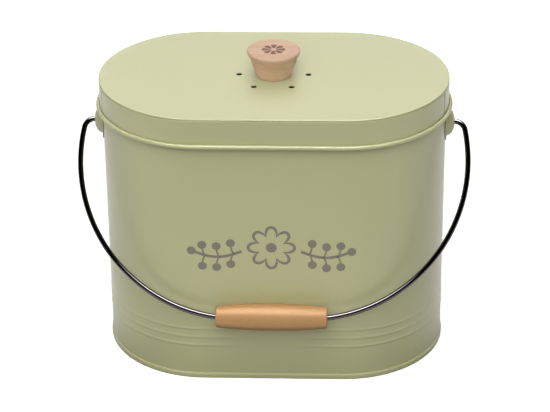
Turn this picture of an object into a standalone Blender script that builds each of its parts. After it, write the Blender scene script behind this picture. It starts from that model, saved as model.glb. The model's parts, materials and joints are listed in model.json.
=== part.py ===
"""Kitchen compost bin: a stadium-plan steel bucket with a loose lid and a wire bail.

Metres, +Z up, front towards -Y. The origin lies on the floor, in the middle of the
footprint that the bin has with its bail hanging down in front. All pieces hang from one
empty at the middle of the bucket, and what swings with the bail from another on its hinge.
"""
import math

import bmesh
import bpy
from mathutils import Matrix, Vector

# Bucket
STRAIGHT = 0.104          # straight stretch of the front and the back, in plan
WALL_R = 0.076            # outside radius of the rounded ends
BUCKET_H = 0.2159         # floor to the top of the rolled rim
SHEET = 0.0006            # thickness of the steel sheet
GAP = 0.0003              # clearance left between pieces that touch
RIM_CURL_R = 0.0015       # middle radius of the rim, rolled inwards
RIM_SWEEP = 300           # degrees that the rim is rolled through
RIB_FIRST = 0.0287        # height of the lowest swaged rib
RIB_PITCH = 0.0071        # distance from rib to rib
RIB_COUNT = 3
RIB_RISE = 0.0006         # how far a rib stands proud
RIB_HALF = 0.0018         # half of a rib's width
RIB_FLAT = 0.0005         # half of the width of its crest
# Base
SEAM_H = 0.0042           # height of the band that grips the wall's foot
SEAM_BEND = 0.0005        # middle radius of the band's two lower bends
BASE_RECESS = 0.0050      # floor to the middle of the base sheet
LEDGE_BEND = 0.0010       # middle radius of the bends inside
BASE_LEDGE = 0.0090       # width of the ledge round the base
BASE_STEP = 0.0010        # how far the middle of the base is pressed up
STEP_RUN = 0.0020         # width of that sloped step
# Lid
LID_CLEAR = 0.0014        # play between the bucket's wall and the skirt
LID_H = 0.0231            # top of the lid to the bottom of its hem
PANEL_T = 0.0007          # thickness of the top panel
PANEL_EDGE = 0.0005       # rounding of the panel's upper edge
FLANGE_W = 0.0045         # skirt's inward flange, which the panel lies on
SKIRT_BEND = 0.0009       # middle radius of the bend from flange to skirt
HEM_R = 0.00135           # middle radius of the hem, rolled outwards
HEM_SWEEP = 280           # degrees that the hem is rolled through
VENTS_PER_SIDE = 3
VENT_R = 0.0021
VENT_RING_R = 0.0257      # radius of the circle that the vents lie on
VENT_STEP = 57.5          # degrees from vent to vent on each side
# Knob and what it is fastened with
KNOB_H = 0.0198
KNOB_TOP_R = 0.0199
KNOB_RIM_T = 0.0030       # thickness of the knob's disc at its edge
KNOB_NECK_R = 0.0158      # radius where the disc meets the stem
KNOB_NECK_H = 0.0112      # height of that place above the lid
KNOB_BASE_R = 0.0124
KNOB_TAPER = 0.0006       # how much the disc narrows towards its underside
KNOB_EDGE = 0.0012        # rounding of the disc's upper edge
KNOB_LOW_EDGE = 0.0014    # rounding of its lower edge
KNOB_CREASE = 0.0036      # rounding of the crease between disc and stem
KNOB_FOOT_EDGE = 0.0005   # chamfer of the knob's foot
SCREW_R = 0.0020
SCREW_PLAY = 0.0004       # play round the screw in the sheets that it passes
SCREW_BITE = 0.0085       # length of the screw inside the knob
SCREW_TIP = 0.0004        # rounding of the screw's tip
HEAD_R = 0.0040
HEAD_T = 0.0024
HEAD_EDGE = 0.0012        # rounding of the screw's head
WASHER_R = 0.0055
WASHER_T = 0.0008
INSERT_WALL = 0.0012      # wall of the threaded insert
INSERT_L = 0.0100
# Filter under the vents
FILTER_R = 0.0350
FILTER_T = 0.0060
COVER_WALL = 0.0012
COVER_LIP = 0.0025        # width of the cover's rim, which lies against the lid
SLOT_COUNT = 12
SLOT_W = 0.0026
SLOT_FROM = 0.0125        # radii between which the slots run
SLOT_TO = 0.0300
SPACER_WALL = 0.0010
# Ears
EAR_R = 0.0105            # radius of the dome
EAR_RISE = 0.0065         # how far the dome stands off the wall
EAR_FLANGE = 0.0025       # flange beside the dome
EAR_TAIL = 0.0040         # flange below the dome
EAR_SHAPE = 2.2           # exponent of the dome's curve, 2 being an ellipse
EAR_BELOW_HEM = 0.0040    # lid's hem to the top of the dome
EYE_PLAY = 0.0004         # play round the wire in the dome's hole
# Bail
WIRE_R = 0.0020
BAIL_REACH = 0.1480       # hinge axis to the grip's axis
BAIL_SIDE = 0.0101        # dome to the wire's middle line at its widest
BAIL_BELLY = 0.0300       # hinge axis to the depth where the wire is widest
SHOULDER_R = 0.0080       # bend outside the dome
GRIP_BEND_R = 0.0140      # bend beside the grip
HEAD_BUTTON_R = 0.0036    # upset head that holds the wire in the dome
HEAD_BUTTON_T = 0.0014
HEAD_PLAY = 0.0006        # play between that head and the inside of the dome
GRIP_L = 0.0824
GRIP_R = 0.0100
GRIP_END_R = 0.0075
GRIP_EDGE = 0.0014        # rounding of the grip's ends
GRIP_BORE_PLAY = 0.0004
GRIP_END_PLAY = 0.0005    # straight wire left at each end of the grip
REST_GAP = 0.0004         # hanging grip to the front wall

# How finely round shapes are divided
QUARTER_STEPS = 10
TURN_STEPS = 28
CURL_STEPS = 7
EAR_STEPS = 18
GRIP_STEPS = 24
BARREL_STEPS = 8
DOME_STEPS = 6
BEND_STEPS = 6
ARC_STEPS = 19
SMALL_STEPS = 16

# Places that follow from the sizes above
END_X = STRAIGHT / 2
FLANGE_Z = BUCKET_H + GAP + SHEET / 2
PANEL_Z = FLANGE_Z + SHEET / 2 + GAP
LID_TOP = PANEL_Z + PANEL_T
SKIRT_R = WALL_R + LID_CLEAR + SHEET / 2
HEM_BOTTOM = LID_TOP - LID_H
HEM_Z = HEM_BOTTOM + SHEET / 2 + HEM_R
EAR_Z = HEM_BOTTOM - EAR_BELOW_HEM - EAR_R
EAR_OUT = END_X + WALL_R + GAP + EAR_RISE
BAIL_HALF = EAR_OUT + BAIL_SIDE
GRIP_Y = WALL_R + REST_GAP + GRIP_R
BAIL_REST = math.asin(GRIP_Y / BAIL_REACH)
COVER_FLOOR = PANEL_Z - GAP - FILTER_T - GAP - COVER_WALL
BUCKET_Y = (GRIP_Y + GRIP_R - SKIRT_R - 2 * HEM_R - SHEET / 2) / 2

PAINT = (0.440, 0.445, 0.262, 1.0)
WOOD = (0.640, 0.420, 0.230, 1.0)
KNOB_WOOD = (0.610, 0.400, 0.260, 1.0)
STEEL = (0.620, 0.610, 0.600, 1.0)
BRASS = (0.700, 0.560, 0.300, 1.0)
PLASTIC = (0.060, 0.065, 0.060, 1.0)
CARBON = (0.030, 0.030, 0.030, 1.0)


def make_collection(name):
    """A new collection in the scene."""
    made = bpy.data.collections.new(name)
    bpy.context.scene.collection.children.link(made)
    return made


def make_material(name, colour, roughness, metallic=0.0):
    """A plain material with the piece's colour and finish."""
    made = bpy.data.materials.new(name)
    made.use_nodes = True
    shader = made.node_tree.nodes["Principled BSDF"]
    shader.inputs["Base Color"].default_value = colour
    shader.inputs["Roughness"].default_value = roughness
    shader.inputs["Metallic"].default_value = metallic
    made.diffuse_color = colour
    return made


def add_object(name, mesh, parent, finish, smooth=True):
    """Put a mesh in the bin's collection, under its parent, with its own material."""
    made = bpy.data.objects.new(name, mesh)
    PIECES.objects.link(made)
    made.parent = parent
    mesh.materials.append(make_material(name, *finish))
    if smooth:
        mesh.shade_smooth()
        mesh.set_sharp_from_angle(angle=math.radians(35))
    return made


def arc(centre, radius, start, end, steps):
    """Points (r, z) of an arc, with its angles in degrees from +r towards +z."""
    angles = [math.radians(start + (end - start) * i / steps) for i in range(steps + 1)]
    return [(centre[0] + radius * math.cos(a), centre[1] + radius * math.sin(a))
            for a in angles]


def filleted(corners, steps=3):
    """Outline (r, z) through corners (r, z, fillet radius), with the corners rounded."""
    outline = []
    for i, (r, z, fillet) in enumerate(corners):
        here = Vector((r, z))
        if fillet == 0 or i in (0, len(corners) - 1):
            outline.append((r, z))
            continue
        back = (Vector(corners[i - 1][:2]) - here).normalized()
        ahead = (Vector(corners[i + 1][:2]) - here).normalized()
        half = back.angle(ahead) / 2
        middle = here + (back + ahead).normalized() * fillet / math.sin(half)
        first = here + back * fillet / math.tan(half) - middle
        sweep = first.angle_signed(here + ahead * fillet / math.tan(half) - middle)
        for k in range(steps + 1):
            turned = Matrix.Rotation(-sweep * k / steps, 2) @ first
            outline.append(tuple(middle + turned))
    return outline


def stadium_mesh(name, profile, fill_start=False, fill_end=False):
    """A quarter of a stadium-plan surface, for mirroring over X and Y.

    The profile, in (r, z), stands at the end of the straight stretch. It is spun through
    a quarter turn about the end's axis and drawn straight to the middle of the bin.
    """
    made = bmesh.new()
    line = [made.verts.new((END_X, -r, z)) for r, z in profile]
    edges = [made.edges.new(pair) for pair in zip(line, line[1:])]
    straight = bmesh.ops.extrude_edge_only(made, edges=edges)["geom"]
    middle = [v for v in straight if isinstance(v, bmesh.types.BMVert)]
    for v in middle:
        v.co.x = 0
    bmesh.ops.spin(made, geom=line + edges, cent=(END_X, 0, 0), axis=(0, 0, 1),
                   angle=math.pi / 2, steps=QUARTER_STEPS, use_duplicate=False)
    for v in made.verts:
        if abs(v.co.y) < 1e-7:
            v.co.y = 0
    for wanted, (r, z) in ((fill_start, profile[0]), (fill_end, profile[-1])):
        if wanted:
            fill_quarter(made, r, z)
    bmesh.ops.recalc_face_normals(made, faces=made.faces)
    mesh = bpy.data.meshes.new(name)
    made.to_mesh(mesh)
    made.free()
    return mesh


def fill_quarter(made, r, z):
    """Close a quarter's flat middle, from the ring at radius r to the bin's centre."""
    ring = []
    for v in made.verts:
        out = math.hypot(max(v.co.x - END_X, 0), v.co.y)
        if abs(out - r) < 1e-6 and abs(v.co.z - z) < 1e-7:
            ring.append(v)
    ring.sort(key=lambda v: math.atan2(v.co.x - END_X, -v.co.y))
    made.faces.new(ring + [made.verts.new((0, 0, z))])


def add_stadium(name, profile, parent, finish, thickness=None, **fills):
    """A stadium-plan piece: a quarter of it, mirrored, with the sheet's thickness."""
    made = add_object(name, stadium_mesh(name, profile, **fills), parent, finish)
    mirror = made.modifiers.new("both_ways", "MIRROR")
    mirror.use_axis = (True, True, False)
    mirror.use_clip = True
    mirror.merge_threshold = 0.00001
    if thickness:
        sheet = made.modifiers.new("sheet", "SOLIDIFY")
        sheet.thickness = thickness
        sheet.offset = 0
        sheet.use_even_offset = True
    return made


def turned_mesh(name, profile, closed=False):
    """A turned shape: the outline (r, z) screwed once round Z.

    The outline runs down the outer side. A closed one goes on up the bore.
    """
    made = bmesh.new()
    line = [made.verts.new((r, 0, z)) for r, z in profile]
    for pair in zip(line, line[1:] + line[:1] if closed else line[1:]):
        made.edges.new(pair)
    mesh = bpy.data.meshes.new(name)
    made.to_mesh(mesh)
    made.free()
    return mesh


def add_turned(name, profile, steps, parent, finish, closed=False):
    """A turned piece with its axis on the parent's Z."""
    made = add_object(name, turned_mesh(name, profile, closed), parent, finish)
    turn = made.modifiers.new("turn", "SCREW")
    turn.angle = 2 * math.pi
    turn.steps = steps
    turn.render_steps = steps
    turn.use_merge_vertices = True
    turn.merge_threshold = 0.00001
    turn.use_smooth_shade = True
    return made


def cut(target, cutters):
    """Take the cutters out of the target."""
    for cutter in cutters:
        hole = target.modifiers.new(cutter.name, "BOOLEAN")
        hole.operation = "DIFFERENCE"
        hole.solver = "EXACT"
        hole.object = cutter


def add_cutter(name, mesh, parent, location=(0, 0, 0), turn=0.0):
    """A hidden solid for a cut."""
    made = bpy.data.objects.new(name, mesh)
    CUTTERS.objects.link(made)
    made.parent = parent
    made.location = location
    made.rotation_euler = (0, 0, turn)
    made.hide_render = True
    made.display_type = "WIRE"
    return made


def cylinder_mesh(name, radius, length, steps):
    """A closed cylinder on Z, centred."""
    made = bmesh.new()
    bmesh.ops.create_cone(made, cap_ends=True, segments=steps, radius1=radius,
                          radius2=radius, depth=length)
    mesh = bpy.data.meshes.new(name)
    made.to_mesh(mesh)
    made.free()
    return mesh


def slot_mesh(name, start, end, width, depth):
    """A closed box along X from start to end."""
    made = bmesh.new()
    size = Matrix.Diagonal((end - start, width, depth, 1))
    place = Matrix.Translation(((start + end) / 2, 0, 0))
    bmesh.ops.create_cube(made, size=1, matrix=place @ size)
    mesh = bpy.data.meshes.new(name)
    made.to_mesh(mesh)
    made.free()
    return mesh


def wall_profile():
    """Middle line of the bucket's wall: foot, swaged ribs, straight wall, rolled rim."""
    r = WALL_R - SHEET / 2
    foot = SHEET + GAP
    points = [(r, foot)]
    for i in range(RIB_COUNT):
        z = RIB_FIRST + i * RIB_PITCH
        points += [(r, z - RIB_HALF), (r + RIB_RISE, z - RIB_FLAT),
                   (r + RIB_RISE, z + RIB_FLAT), (r, z + RIB_HALF)]
    centre = (r - RIM_CURL_R, BUCKET_H - SHEET / 2 - RIM_CURL_R)
    return points + arc(centre, RIM_CURL_R, 0, RIM_SWEEP, CURL_STEPS)


def base_profile():
    """Middle line of the base: band outside the wall, bends under it, inside, ledge, step."""
    outer = WALL_R + GAP + SHEET / 2
    inner = WALL_R - SHEET - GAP - SHEET / 2
    ledge = inner - BASE_LEDGE
    low = SHEET / 2
    return filleted([
        (outer, SEAM_H, 0),
        (outer, low, SEAM_BEND),
        (inner, low, SEAM_BEND),
        (inner, BASE_RECESS, LEDGE_BEND),
        (ledge, BASE_RECESS, LEDGE_BEND),
        (ledge - STEP_RUN, BASE_RECESS + BASE_STEP, 0),
    ], steps=2)


def skirt_profile():
    """Middle line of the lid's skirt: flange, bend, skirt and the hem rolled outwards."""
    top = filleted([
        (SKIRT_R - FLANGE_W, FLANGE_Z, 0),
        (SKIRT_R, FLANGE_Z, SKIRT_BEND),
        (SKIRT_R, HEM_Z, 0),
    ])
    return top + arc((SKIRT_R + HEM_R, HEM_Z), HEM_R, 180, 180 + HEM_SWEEP, CURL_STEPS)[1:]


def panel_profile():
    """Outline of the flat panel from its underside, round its edge, to its top."""
    r = SKIRT_R + SHEET / 2
    inside = SKIRT_R - FLANGE_W
    return filleted([
        (inside, PANEL_Z, 0),
        (r, PANEL_Z, 0),
        (r, LID_TOP, PANEL_EDGE),
        (inside, LID_TOP, 0),
    ])


def build_bucket(centre):
    """Wall, base and the two pressed ears."""
    paint = (PAINT, 0.42)
    add_stadium("bucket_wall", wall_profile(), centre, paint, SHEET)
    add_stadium("bucket_base", base_profile(), centre, paint, SHEET, fill_end=True)
    for side, name in ((-1, "ear_left"), (1, "ear_right")):
        ear = add_object(name, ear_mesh(name), centre, paint)
        ear.location = (side * END_X, 0, EAR_Z)
        ear.rotation_euler = (0, 0, 0 if side > 0 else math.pi)
        sheet = ear.modifiers.new("sheet", "SOLIDIFY")
        sheet.thickness = SHEET
        sheet.offset = -1
        sheet.use_even_offset = True


def ear_mesh(name):
    """Outer face of a pressed ear, facing +X: a domed cup with a flange on the wall.

    The outline is turned about the hinge axis. Then its flange is drawn down into a tail
    and the whole is draped on the bucket's rounded end.
    """
    eye = WIRE_R + EYE_PLAY
    wall = WALL_R + GAP + SHEET
    rise = EAR_RISE - SHEET
    line = []
    for i in range(DOME_STEPS + 1):
        r = eye + (EAR_R - eye) * math.sin(math.pi / 2 * i / DOME_STEPS)
        line.append((r, rise * (1 - (r / EAR_R) ** EAR_SHAPE) ** (1 / EAR_SHAPE)))
    line += [(EAR_R + SHEET, 0), (EAR_R + EAR_FLANGE, 0)]
    made = bmesh.new()
    verts = [made.verts.new((h, 0, r)) for r, h in line]
    edges = [made.edges.new(pair) for pair in zip(verts, verts[1:])]
    bmesh.ops.spin(made, geom=verts + edges, cent=(0, 0, 0), axis=(1, 0, 0),
                   angle=2 * math.pi, steps=EAR_STEPS, use_merge=True, use_duplicate=False)
    bmesh.ops.remove_doubles(made, verts=made.verts, dist=0.000005)
    for v in made.verts:
        out = math.hypot(v.co.y, v.co.z) - EAR_R
        if out > SHEET and v.co.z < 0:
            v.co.z *= 1 + (EAR_TAIL - EAR_FLANGE) / (EAR_R + EAR_FLANGE)
        v.co.x += math.sqrt(wall ** 2 - v.co.y ** 2)
    bmesh.ops.recalc_face_normals(made, faces=made.faces)
    if sum(f.normal.x * f.calc_area() for f in made.faces) < 0:
        bmesh.ops.reverse_faces(made, faces=made.faces)
    mesh = bpy.data.meshes.new(name)
    made.to_mesh(mesh)
    made.free()
    return mesh


def build_lid(centre):
    """Panel, skirt, knob, filter and the screw that holds them together."""
    paint = (PAINT, 0.42)
    panel = add_stadium("lid_panel", panel_profile(), centre, paint,
                        fill_start=True, fill_end=True)
    add_stadium("lid_skirt", skirt_profile(), centre, paint, SHEET)
    through = 4 * PANEL_T
    for side, turn in (("right", 0), ("left", 180)):
        for i in range(VENTS_PER_SIDE):
            a = math.radians(turn + VENT_STEP * (i - (VENTS_PER_SIDE - 1) / 2))
            spot = (VENT_RING_R * math.cos(a), VENT_RING_R * math.sin(a), LID_TOP)
            name = "%s_vent_%d" % (side, i + 1)
            vent = cylinder_mesh(name, VENT_R, through, SMALL_STEPS)
            cut(panel, [add_cutter(name, vent, centre, spot)])
    shank = cylinder_mesh("panel_hole", SCREW_R + SCREW_PLAY, through, SMALL_STEPS)
    cut(panel, [add_cutter("panel_hole", shank, centre, (0, 0, LID_TOP))])
    build_knob(centre)
    build_filter(centre)


def build_knob(centre):
    """Turned knob with its threaded insert."""
    insert_r = SCREW_R + GAP + INSERT_WALL
    hole_r = insert_r + GAP
    hole_l = INSERT_L + GAP
    outside = filleted([
        (0, KNOB_H, 0),
        (KNOB_TOP_R, KNOB_H, KNOB_EDGE),
        (KNOB_TOP_R - KNOB_TAPER, KNOB_H - KNOB_RIM_T, KNOB_LOW_EDGE),
        (KNOB_NECK_R, KNOB_NECK_H, KNOB_CREASE),
        (KNOB_BASE_R, KNOB_FOOT_EDGE, 0),
        (KNOB_BASE_R - KNOB_FOOT_EDGE, 0, 0),
        (hole_r, 0, 0),
        (hole_r, hole_l, 0),
        (0, hole_l, 0),
    ])
    knob = add_turned("knob", outside, TURN_STEPS, centre, (KNOB_WOOD, 0.55))
    knob.location = (0, 0, LID_TOP + GAP)
    bore = SCREW_R + GAP
    ring = [(bore + INSERT_WALL, INSERT_L), (bore + INSERT_WALL, 0), (bore, 0),
            (bore, INSERT_L)]
    insert = add_turned("knob_insert", ring, SMALL_STEPS, centre, (BRASS, 0.35, 1.0), True)
    insert.location = (0, 0, LID_TOP + GAP)


def build_filter(centre):
    """Perforated cover, carbon disc, spacer, washer and the knob's screw."""
    clear = SCREW_R + SCREW_PLAY
    bore = clear + SPACER_WALL + GAP
    side_r = FILTER_R + GAP
    top = PANEL_Z - GAP
    cup = [(side_r + COVER_WALL + COVER_LIP, top),
           (side_r + COVER_WALL + COVER_LIP, top - COVER_WALL),
           (side_r + COVER_WALL, top - COVER_WALL),
           (side_r + COVER_WALL, COVER_FLOOR), (clear, COVER_FLOOR),
           (clear, COVER_FLOOR + COVER_WALL), (side_r, COVER_FLOOR + COVER_WALL),
           (side_r, top)]
    cover = add_turned("filter_cover", cup, TURN_STEPS, centre, (PLASTIC, 0.5), True)
    slot = slot_mesh("slot", SLOT_FROM, SLOT_TO, SLOT_W, 4 * COVER_WALL)
    for i in range(SLOT_COUNT):
        turn = 2 * math.pi * (i + 0.5) / SLOT_COUNT
        cut(cover, [add_cutter("slot_%d" % (i + 1), slot, centre, (0, 0, COVER_FLOOR), turn)])
    low = COVER_FLOOR + COVER_WALL + GAP
    disc = [(FILTER_R, top - GAP), (FILTER_R, low), (bore, low), (bore, top - GAP)]
    add_turned("carbon_filter", disc, TURN_STEPS, centre, (CARBON, 0.95), True)
    tube = [(clear + SPACER_WALL, top), (clear + SPACER_WALL, low), (clear, low),
            (clear, top)]
    add_turned("filter_spacer", tube, SMALL_STEPS, centre, (STEEL, 0.35, 1.0), True)
    washer_top = COVER_FLOOR - GAP
    washer = [(WASHER_R, washer_top), (WASHER_R, washer_top - WASHER_T),
              (clear, washer_top - WASHER_T), (clear, washer_top)]
    add_turned("screw_washer", washer, SMALL_STEPS, centre, (STEEL, 0.35, 1.0), True)
    head_top = washer_top - WASHER_T - GAP
    screw = filleted([
        (0, LID_TOP + GAP + SCREW_BITE, 0),
        (SCREW_R, LID_TOP + GAP + SCREW_BITE, SCREW_TIP),
        (SCREW_R, head_top, 0),
        (HEAD_R, head_top, 0),
        (HEAD_R, head_top - HEAD_T, HEAD_EDGE),
        (0, head_top - HEAD_T, 0),
    ], steps=2)
    add_turned("knob_screw", screw, SMALL_STEPS, centre, (STEEL, 0.3, 1.0))


def bail_path():
    """Half of the wire's middle line, in (x, distance below the hinge axis).

    From the head inside the ear: out of the ear, a shoulder bend, a long arc that is widest
    at BAIL_BELLY, a small bend and the straight stretch in the grip. The long arc is tangent
    to both bends, which settles its radius.
    """
    grip_x = GRIP_L / 2 + GRIP_END_PLAY
    across = BAIL_HALF - grip_x
    down = BAIL_REACH - GRIP_BEND_R - BAIL_BELLY
    big = (across ** 2 + down ** 2 - GRIP_BEND_R ** 2) / (2 * (across - GRIP_BEND_R))
    big_x = BAIL_HALF - big
    above = math.asin((BAIL_BELLY - SHOULDER_R) / (big - SHOULDER_R))
    shoulder_x = big_x + (big - SHOULDER_R) * math.cos(above)
    meet = -math.degrees(above)
    lean = math.degrees(math.asin((grip_x - big_x) / (big - GRIP_BEND_R)))
    start = EAR_OUT - SHEET - HEAD_PLAY - HEAD_BUTTON_T / 2
    points = [(start, 0)]
    points += arc((shoulder_x, SHOULDER_R), SHOULDER_R, -90, meet, BEND_STEPS)
    points += arc((big_x, BAIL_BELLY), big, meet, 90 - lean, ARC_STEPS)[1:]
    points += arc((grip_x, BAIL_REACH - GRIP_BEND_R), GRIP_BEND_R, 90 - lean, 90,
                  BEND_STEPS // 2)[1:]
    return points


def build_bail(axis):
    """Wire with its two heads, and the grip turned on it."""
    half = bail_path()
    points = [(-x, s) for x, s in half] + [(x, s) for x, s in reversed(half)]
    curve = bpy.data.curves.new("bail_wire", "CURVE")
    curve.dimensions = "3D"
    curve.bevel_depth = WIRE_R
    curve.bevel_resolution = 3
    curve.use_fill_caps = True
    curve.twist_mode = "MINIMUM"
    line = curve.splines.new("POLY")
    line.points.add(len(points) - 1)
    for spot, (x, s) in zip(line.points, points):
        spot.co = (x, 0, -s, 1)
    guide = bpy.data.objects.new("bail_curve", curve)
    CUTTERS.objects.link(guide)
    graph = bpy.context.evaluated_depsgraph_get()
    mesh = bpy.data.meshes.new_from_object(guide.evaluated_get(graph))
    bpy.data.objects.remove(guide)
    made = bmesh.new()
    made.from_mesh(mesh)
    bmesh.ops.remove_doubles(made, verts=made.verts, dist=0.000005)
    made.to_mesh(mesh)
    made.free()
    wire = add_object("bail_wire", mesh, axis, (STEEL, 0.12, 1.0))
    heads = []
    for side, name in ((-1, "left_button"), (1, "right_button")):
        x = EAR_OUT - SHEET - HEAD_PLAY - HEAD_BUTTON_T / 2
        button = cylinder_mesh(name, HEAD_BUTTON_R, HEAD_BUTTON_T, SMALL_STEPS)
        button.transform(Matrix.Rotation(math.pi / 2, 4, "Y"))
        heads.append(add_cutter(name, button, axis, (side * x, 0, 0)))
    for head in heads:
        join = wire.modifiers.new(head.name, "BOOLEAN")
        join.operation = "UNION"
        join.solver = "EXACT"
        join.object = head
    build_grip(axis)


def build_grip(axis):
    """Barrel-shaped grip, bored for the wire, with its axis along X."""
    bore = WIRE_R + GRIP_BORE_PLAY
    end = GRIP_L / 2
    reach = end - GRIP_EDGE
    rounded = arc((GRIP_END_R - GRIP_EDGE, reach), GRIP_EDGE, 90, 0, 3)
    upper = [(bore, end)] + rounded
    barrel = []
    for i in range(1, BARREL_STEPS):
        z = reach * (1 - 2 * i / BARREL_STEPS)
        swell = (GRIP_R - GRIP_END_R) * (1 - (z / reach) ** 2)
        barrel.append((GRIP_END_R + swell, z))
    outside = upper + barrel + [(r, -z) for r, z in reversed(upper)]
    grip = add_turned("bail_grip", outside, GRIP_STEPS, axis, (WOOD, 0.5), True)
    grip.location = (0, 0, -BAIL_REACH)
    grip.rotation_euler = (0, math.pi / 2, 0)


for old in list(bpy.data.objects):
    bpy.data.objects.remove(old)

PIECES = make_collection("compost_bin")
CUTTERS = make_collection("cutters")

bucket_centre = bpy.data.objects.new("bucket_centre", None)
bucket_centre.location = (0, BUCKET_Y, 0)
PIECES.objects.link(bucket_centre)

bail_axis = bpy.data.objects.new("bail_axis", None)
bail_axis.parent = bucket_centre
bail_axis.location = (0, 0, EAR_Z)
bail_axis.rotation_euler = (-BAIL_REST, 0, 0)
PIECES.objects.link(bail_axis)

build_bucket(bucket_centre)
build_lid(bucket_centre)
build_bail(bail_axis)
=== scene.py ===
import json
import math

import bpy
import bmesh
import numpy as np
from mathutils import Matrix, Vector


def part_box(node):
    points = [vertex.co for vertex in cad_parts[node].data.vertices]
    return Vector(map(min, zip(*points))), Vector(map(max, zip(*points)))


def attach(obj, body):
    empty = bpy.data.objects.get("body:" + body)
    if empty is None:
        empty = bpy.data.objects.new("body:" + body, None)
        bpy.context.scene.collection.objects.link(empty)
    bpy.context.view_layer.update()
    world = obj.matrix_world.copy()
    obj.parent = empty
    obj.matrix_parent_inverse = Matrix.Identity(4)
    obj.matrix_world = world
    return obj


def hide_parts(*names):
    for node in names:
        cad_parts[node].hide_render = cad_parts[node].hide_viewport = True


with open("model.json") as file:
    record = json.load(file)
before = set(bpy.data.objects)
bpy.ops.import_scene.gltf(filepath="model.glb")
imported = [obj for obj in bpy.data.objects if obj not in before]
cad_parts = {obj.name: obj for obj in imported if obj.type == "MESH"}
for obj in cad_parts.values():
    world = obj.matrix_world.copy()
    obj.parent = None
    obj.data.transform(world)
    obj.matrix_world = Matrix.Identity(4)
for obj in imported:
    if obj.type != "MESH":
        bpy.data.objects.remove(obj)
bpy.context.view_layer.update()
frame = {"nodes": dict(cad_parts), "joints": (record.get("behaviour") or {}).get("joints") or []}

# Kitchen compost bin: metres, +Z up, front towards -Y, standing on the floor at z = 0.
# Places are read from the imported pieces, so that every surface sits where its solid does.
wallLow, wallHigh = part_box("bucket_wall")
skirtLow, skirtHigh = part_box("lid_skirt")
panelLow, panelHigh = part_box("lid_panel")
knobLow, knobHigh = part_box("knob")
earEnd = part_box("ear_right")[1].x
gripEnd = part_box("bail_grip")[1].x
joints = {j["name"]: j for j in frame["joints"]}
hinge = np.array(joints["bail_swing"]["pos_m"])
gripMiddle = np.array(joints["grip_spin"]["pos_m"])
centreY = (panelLow.y + panelHigh.y) / 2
lidR = (panelHigh.y - panelLow.y) / 2
endX = panelHigh.x - lidR              # centre of the round ends
sheetT = 0.0006
gap = 0.0003                           # between sheets that lie on each other
gather = 0.3                           # how even the stations along the straights are
filletSteps = 8
edgeSteps = 3                          # over a quarter turn of a sheet's edge
sharpAngle = 40                        # degrees from which an edge is shaded sharp
print("frame loaded: centre y %.4f, lid radius %.4f, end x %.4f" % (centreY, lidR, endX))


# Meshes from arrays

def gridQuads(rows, cols, closeRows, closeCols):
    # corners of the cell (i, j): itself, its neighbour along the columns, both, along the rows
    i, j = np.meshgrid(np.arange(rows - (not closeRows)), np.arange(cols - (not closeCols)),
                       indexing="ij")
    i2, j2 = (i + 1) % rows, (j + 1) % cols
    corners = [i * cols + j, i * cols + j2, i2 * cols + j2, i2 * cols + j]
    return np.stack(corners, -1).reshape(-1, 4)


def meshObject(name, parts, material, body, replaced=(), weld=2e-6):
    # parts: a list of (points, quads); each one is turned so that its faces point outwards,
    # by the sign of the sum of area vector times distance from the middle
    points, quads, start = [], [], 0
    for p, q in parts:
        p = np.asarray(p, float).reshape(-1, 3)
        c = p[q]
        area = np.cross(c[:, 1] - c[:, 0], c[:, 2] - c[:, 0])
        area = area + np.cross(c[:, 2] - c[:, 0], c[:, 3] - c[:, 0])
        if np.einsum("ij,ij->", area, c.mean(1) - p.mean(0)) < 0:
            q = q[:, ::-1]
        points.append(p)
        quads.append(q + start)
        start += len(p)
    mesh = bpy.data.meshes.new(name)
    mesh.from_pydata(np.concatenate(points).tolist(), [], np.concatenate(quads).tolist())
    made = bmesh.new()
    made.from_mesh(mesh)
    bmesh.ops.remove_doubles(made, verts=made.verts, dist=weld)
    bmesh.ops.dissolve_degenerate(made, edges=made.edges, dist=1e-7)
    made.to_mesh(mesh)
    made.free()
    mesh.materials.append(material)
    mesh.shade_smooth()
    mesh.set_sharp_from_angle(angle=math.radians(sharpAngle))
    piece = bpy.data.objects.new(name, mesh)
    bpy.context.scene.collection.objects.link(piece)
    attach(piece, body)
    if replaced:
        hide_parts(*replaced)
    return piece


def vertexPlaces(piece):
    # the x, y and z of all vertices, after the weld
    places = np.zeros(len(piece.data.vertices) * 3)
    piece.data.vertices.foreach_get("co", places)
    return places.reshape(-1, 3).T


def setAttribute(piece, name, values):
    attribute = piece.data.attributes.new(name, "FLOAT", "POINT")
    attribute.data.foreach_set("value", values.astype(np.float32))


def planPath(arcSteps=72, frontSteps=36, backSteps=36, extra=()):
    # the stadium, walked from the front of the right end: centre x and the angle of the
    # outward normal at each station. Stations lie closer together at the middle of the
    # straights, where x = end * (gather * t + (1 - gather) * t^3)
    def straight(start, steps):
        t = np.linspace(start, -start, steps, endpoint=False)
        return endX * (gather * t + (1 - gather) * t ** 3)

    a = np.linspace(-math.pi / 2, math.pi / 2, arcSteps, endpoint=False)
    a = np.unique(np.concatenate([a, extra, -np.asarray(extra)]))
    centre = np.concatenate([np.full(len(a), endX), straight(1, backSteps),
                             np.full(len(a), -endX), straight(-1, frontSteps)])
    angle = np.concatenate([a, np.full(backSteps, math.pi / 2), a + math.pi,
                            np.full(frontSteps, 1.5 * math.pi)])
    return centre, angle


def sweepStadium(outline, path, proud=0):
    # the outline's points (r, z), carried round the stadium: x = centre + (r + proud) cos a,
    # y = (r + proud) sin a
    centre, angle = path
    r, z = outline[:, :1], outline[:, 1:2]
    r = np.broadcast_to(r + proud, (len(outline), len(angle)))
    z = np.broadcast_to(z, r.shape)
    return np.stack([centre + r * np.cos(angle), centreY + r * np.sin(angle), z], -1)


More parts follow.
